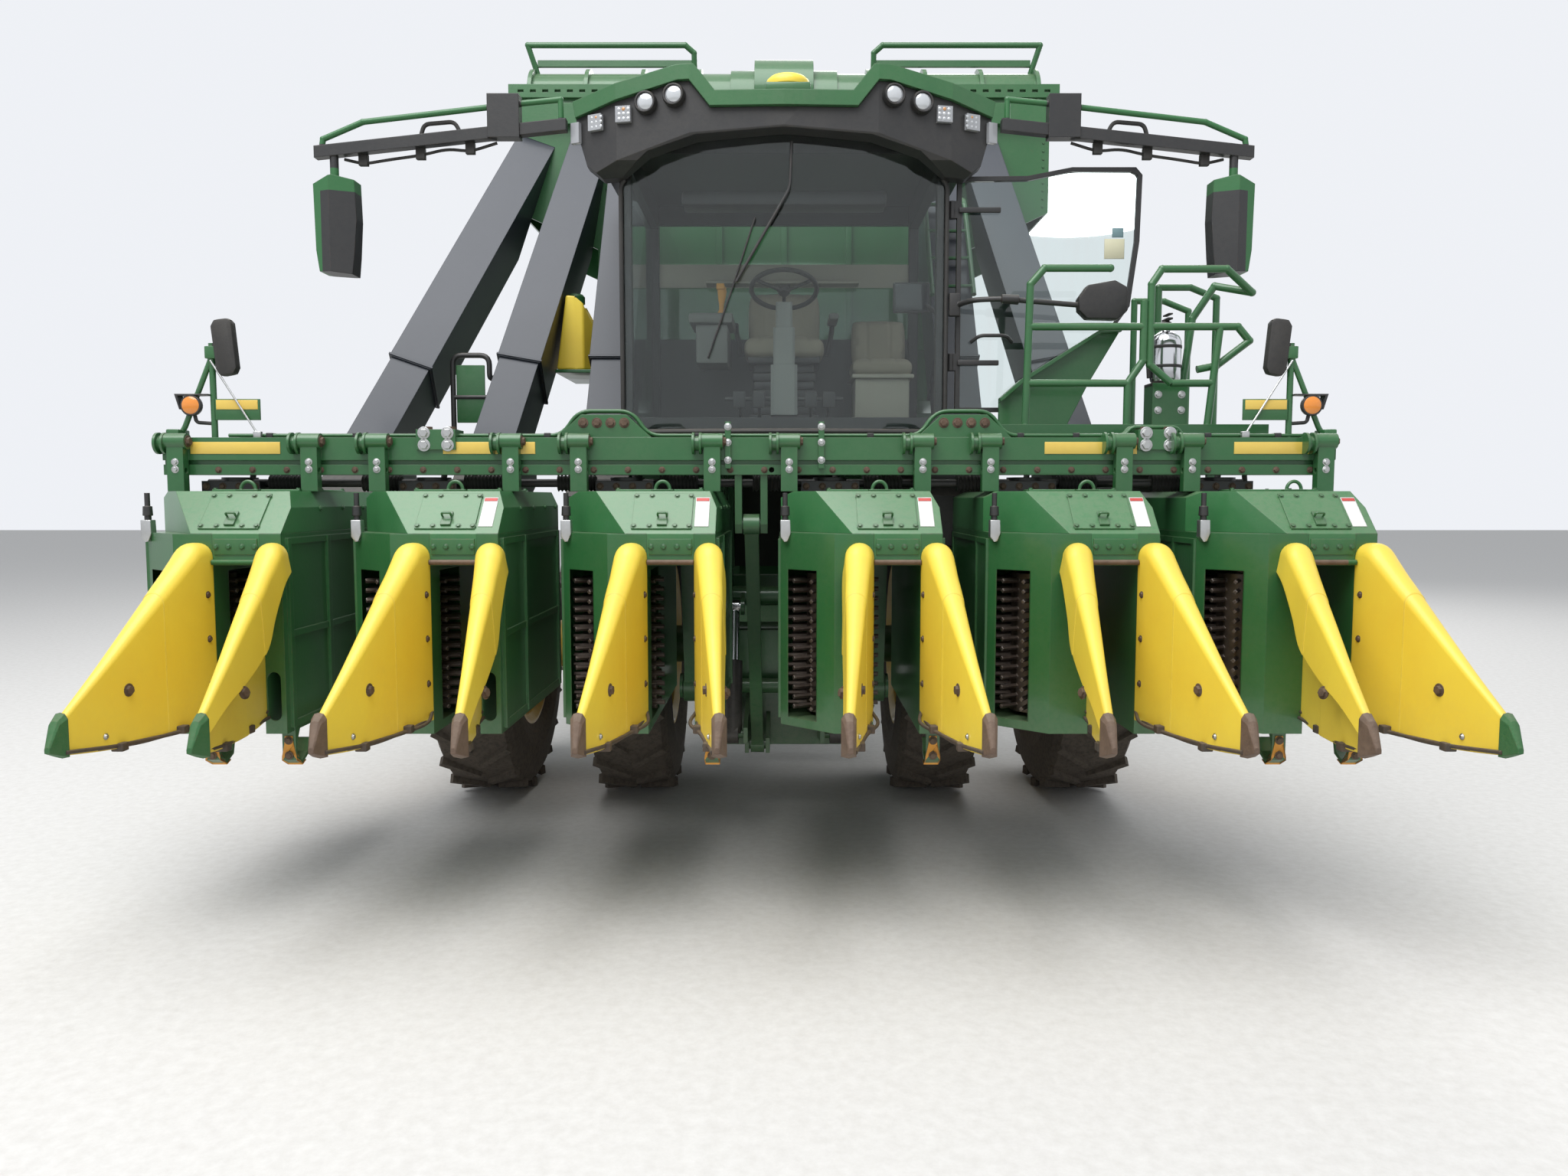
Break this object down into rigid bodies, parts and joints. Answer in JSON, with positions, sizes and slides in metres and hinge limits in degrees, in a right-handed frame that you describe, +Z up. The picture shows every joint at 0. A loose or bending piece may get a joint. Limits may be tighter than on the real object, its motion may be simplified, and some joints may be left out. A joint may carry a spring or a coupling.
{
  "type": "cotton picker",
  "caption": "Self-propelled spindle cotton picker with row units on a lifting header, cab, air ducts, accumulator and a round module builder.",
  "frame": {"origin": "centre of the footprint, on the ground", "axes": "+Z up, -Y towards the front of the machine, +X towards its own left side; +Y is its longest extent"},
  "size_m": [5.738, 9.92, 5.1558],
  "materials": {
    "green_paint": "semi-gloss enamel with dust",
    "light_green_paint": "satin enamel, sun bleached",
    "yellow_plastic": "moulded plastic, dusty",
    "rusty_iron": "worn and rusty",
    "black_paint": "satin",
    "spindle_steel": "worn",
    "duct_paint": "dark blue-black satin",
    "rod_chrome": "polished",
    "tyre_rubber": "dusty rubber",
    "yellow_paint": "enamel",
    "cab_glass": "tinted",
    "seat_fabric": "beige cloth",
    "engine_iron": "painted",
    "lamp_glass": "clear"
  },
  "bodies": {
    "machine": {"chassis": "green_paint", "front_axle": "green_paint", "rear_axle": "green_paint", "cab_frame": "black_paint", "cab_roof": "green_paint", "cab_glass": "cab_glass", "cab_seats": "seat_fabric", "platform": "green_paint", "engine": "engine_iron", "side_covers": "green_paint", "accumulator": "green_paint", "baler_body": "green_paint", "duct_sleeves": "duct_paint", "mirrors": "duct_paint", "lamps": "lamp_glass"},
    "header": {"unit_cabinets": "green_paint", "unit_panels": "green_paint", "unit_covers": "light_green_paint", "dividers": "yellow_plastic", "divider_points": "rusty_iron", "divider_guards": "green_paint", "header_beam": "green_paint", "header_drive": "black_paint", "duct_boots": "black_paint"},
    "lift_arms": {"lift_arms": "green_paint"},
    "level_link": {"level_link": "green_paint"},
    "lift_barrels": {"lift_barrels": "black_paint"},
    "lift_rods": {"lift_rods": "rod_chrome"},
    "front_wheels_left": {"front_tyres_left": "tyre_rubber", "front_rims_left": "yellow_paint"},
    "front_wheels_right": {"front_tyres_right": "tyre_rubber", "front_rims_right": "yellow_paint"},
    "knuckle_left": {"knuckle_left": "green_paint"},
    "knuckle_right": {"knuckle_right": "green_paint"},
    "rear_wheel_left": {"rear_tyre_left": "tyre_rubber", "rear_rim_left": "yellow_paint"},
    "rear_wheel_right": {"rear_tyre_right": "tyre_rubber", "rear_rim_right": "yellow_paint"},
    "cab_door": {"cab_door": "black_paint", "door_glass": "cab_glass"},
    "baler_gate": {"baler_gate": "green_paint"},
    "gate_barrels": {"gate_barrels": "black_paint"},
    "gate_rods": {"gate_rods": "rod_chrome"},
    "module_handler": {"module_handler": "green_paint"},
    "picking_drum_1": {"picking_drum_1": "spindle_steel"},
    "picking_drum_2": {"picking_drum_2": "spindle_steel"},
    "picking_drum_3": {"picking_drum_3": "spindle_steel"},
    "picking_drum_4": {"picking_drum_4": "spindle_steel"},
    "picking_drum_5": {"picking_drum_5": "spindle_steel"},
    "picking_drum_6": {"picking_drum_6": "spindle_steel"},
    "duct_lower_1": {"duct_lower_1": "duct_paint"},
    "duct_lower_2": {"duct_lower_2": "duct_paint"},
    "duct_lower_3": {"duct_lower_3": "duct_paint"},
    "duct_lower_4": {"duct_lower_4": "duct_paint"},
    "duct_lower_5": {"duct_lower_5": "duct_paint"}
  },
  "joints": [
    {"name": "arms_lift", "type": "hinge", "parent": "machine", "child": "lift_arms", "pos_m": [0.1385, -2.155, 0.82], "axis": [1, 0, 0], "range_deg": [0, 29.37]},
    {"name": "header_level", "type": "hinge", "parent": "lift_arms", "child": "header", "pos_m": [0.1385, -3.3, 2.17], "axis": [1, 0, 0], "range_deg": [-29.37, 0]},
    {"name": "level_link_swing", "type": "hinge", "parent": "machine", "child": "level_link", "pos_m": [-0.0215, -2.305, 0.49], "axis": [1, 0, 0], "range_deg": [0, 29.37]},
    {"name": "lift_barrel_swing", "type": "hinge", "parent": "machine", "child": "lift_barrels", "pos_m": [0.1385, -2.54, 0.6], "axis": [1, 0, 0], "range_deg": [0, 16.99]},
    {"name": "lift_rod_slide", "type": "slide", "parent": "lift_barrels", "child": "lift_rods", "axis": [0, 0.326, 0.9454], "range_m": [-0.1697, 0]},
    {"name": "duct_slide_1", "type": "slide", "parent": "machine", "child": "duct_lower_1", "axis": [0.2803, 0.5231, 0.8048], "range_m": [-0.9143, 0]},
    {"name": "duct_slide_2", "type": "slide", "parent": "machine", "child": "duct_lower_2", "axis": [0.1448, 0.5392, 0.8296], "range_m": [-0.8871, 0]},
    {"name": "duct_slide_3", "type": "slide", "parent": "machine", "child": "duct_lower_3", "axis": [0, 0.545, 0.8384], "range_m": [-0.8777, 0]},
    {"name": "duct_slide_4", "type": "slide", "parent": "machine", "child": "duct_lower_4", "axis": [0, 0.545, 0.8384], "range_m": [-0.8777, 0]},
    {"name": "duct_slide_5", "type": "slide", "parent": "machine", "child": "duct_lower_5", "axis": [-0.1448, 0.5392, 0.8296], "range_m": [-0.8871, 0]},
    {"name": "drum_1_spin", "type": "hinge", "parent": "header", "child": "picking_drum_1", "pos_m": [-2.5715, -3.72, 1.295], "axis": [0, 0, 1], "continuous": true},
    {"name": "drum_2_spin", "type": "hinge", "parent": "header", "child": "picking_drum_2", "pos_m": [-1.6065, -3.72, 1.295], "axis": [0, 0, 1], "continuous": true},
    {"name": "drum_3_spin", "type": "hinge", "parent": "header", "child": "picking_drum_3", "pos_m": [-0.6415, -3.72, 1.295], "axis": [0, 0, 1], "continuous": true},
    {"name": "drum_4_spin", "type": "hinge", "parent": "header", "child": "picking_drum_4", "pos_m": [0.3685, -3.72, 1.295], "axis": [0, 0, 1], "continuous": true},
    {"name": "drum_5_spin", "type": "hinge", "parent": "header", "child": "picking_drum_5", "pos_m": [1.3335, -3.72, 1.295], "axis": [0, 0, 1], "continuous": true},
    {"name": "drum_6_spin", "type": "hinge", "parent": "header", "child": "picking_drum_6", "pos_m": [2.2985, -3.72, 1.295], "axis": [0, 0, 1], "continuous": true},
    {"name": "front_wheels_left_roll", "type": "hinge", "parent": "machine", "child": "front_wheels_left", "pos_m": [1.586, -1.34, 0.975], "axis": [1, 0, 0], "continuous": true},
    {"name": "front_wheels_right_roll", "type": "hinge", "parent": "machine", "child": "front_wheels_right", "pos_m": [-1.309, -1.34, 0.975], "axis": [1, 0, 0], "continuous": true},
    {"name": "steer_left", "type": "hinge", "parent": "machine", "child": "knuckle_left", "pos_m": [1.5685, 2.56, 0.8], "axis": [0, 0, 1], "range_deg": [-35, 35]},
    {"name": "steer_right", "type": "hinge", "parent": "machine", "child": "knuckle_right", "pos_m": [-1.2915, 2.56, 0.8], "axis": [0, 0, 1], "range_deg": [-35, 35]},
    {"name": "rear_wheel_left_roll", "type": "hinge", "parent": "knuckle_left", "child": "rear_wheel_left", "pos_m": [2.0685, 2.56, 0.8], "axis": [1, 0, 0], "continuous": true},
    {"name": "rear_wheel_right_roll", "type": "hinge", "parent": "knuckle_right", "child": "rear_wheel_right", "pos_m": [-1.7915, 2.56, 0.8], "axis": [1, 0, 0], "continuous": true},
    {"name": "cab_door_hinge", "type": "hinge", "parent": "machine", "child": "cab_door", "pos_m": [1.0385, -2.87, 3.1], "axis": [0, 0, 1], "range_deg": [0, 89]},
    {"name": "baler_gate_hinge", "type": "hinge", "parent": "machine", "child": "baler_gate", "pos_m": [0.1385, 2.44, 4.315], "axis": [1, 0, 0], "range_deg": [0, 60]},
    {"name": "gate_barrel_swing", "type": "hinge", "parent": "machine", "child": "gate_barrels", "pos_m": [0.1385, 2.16, 3.57], "axis": [1, 0, 0], "range_deg": [0, 25.34]},
    {"name": "gate_rod_slide", "type": "slide", "parent": "gate_barrels", "child": "gate_rods", "axis": [0, 0.9444, 0.3287], "range_m": [0, 0.5326]},
    {"name": "handler_hinge", "type": "hinge", "parent": "machine", "child": "module_handler", "pos_m": [0.1385, 3.52, 1.23], "axis": [1, 0, 0], "range_deg": [-35, 0]}
  ],
  "couplings": [
    {"joint": "header_level", "follows": "arms_lift", "ratio": -1},
    {"joint": "level_link_swing", "follows": "arms_lift", "ratio": 1},
    {"joint": "lift_barrel_swing", "follows": "arms_lift", "ratio": 0.578},
    {"joint": "lift_rod_slide", "follows": "arms_lift", "m_per_rad": -0.3291},
    {"joint": "duct_slide_1", "follows": "arms_lift", "m_per_rad": -1.7817},
    {"joint": "duct_slide_2", "follows": "arms_lift", "m_per_rad": -1.7285},
    {"joint": "duct_slide_3", "follows": "arms_lift", "m_per_rad": -1.7103},
    {"joint": "duct_slide_4", "follows": "arms_lift", "m_per_rad": -1.7103},
    {"joint": "duct_slide_5", "follows": "arms_lift", "m_per_rad": -1.7285},
    {"joint": "steer_right", "follows": "steer_left", "ratio": 1},
    {"joint": "gate_barrel_swing", "follows": "baler_gate_hinge", "ratio": 0.4222},
    {"joint": "gate_rod_slide", "follows": "baler_gate_hinge", "m_per_rad": 0.5076}
  ]
}
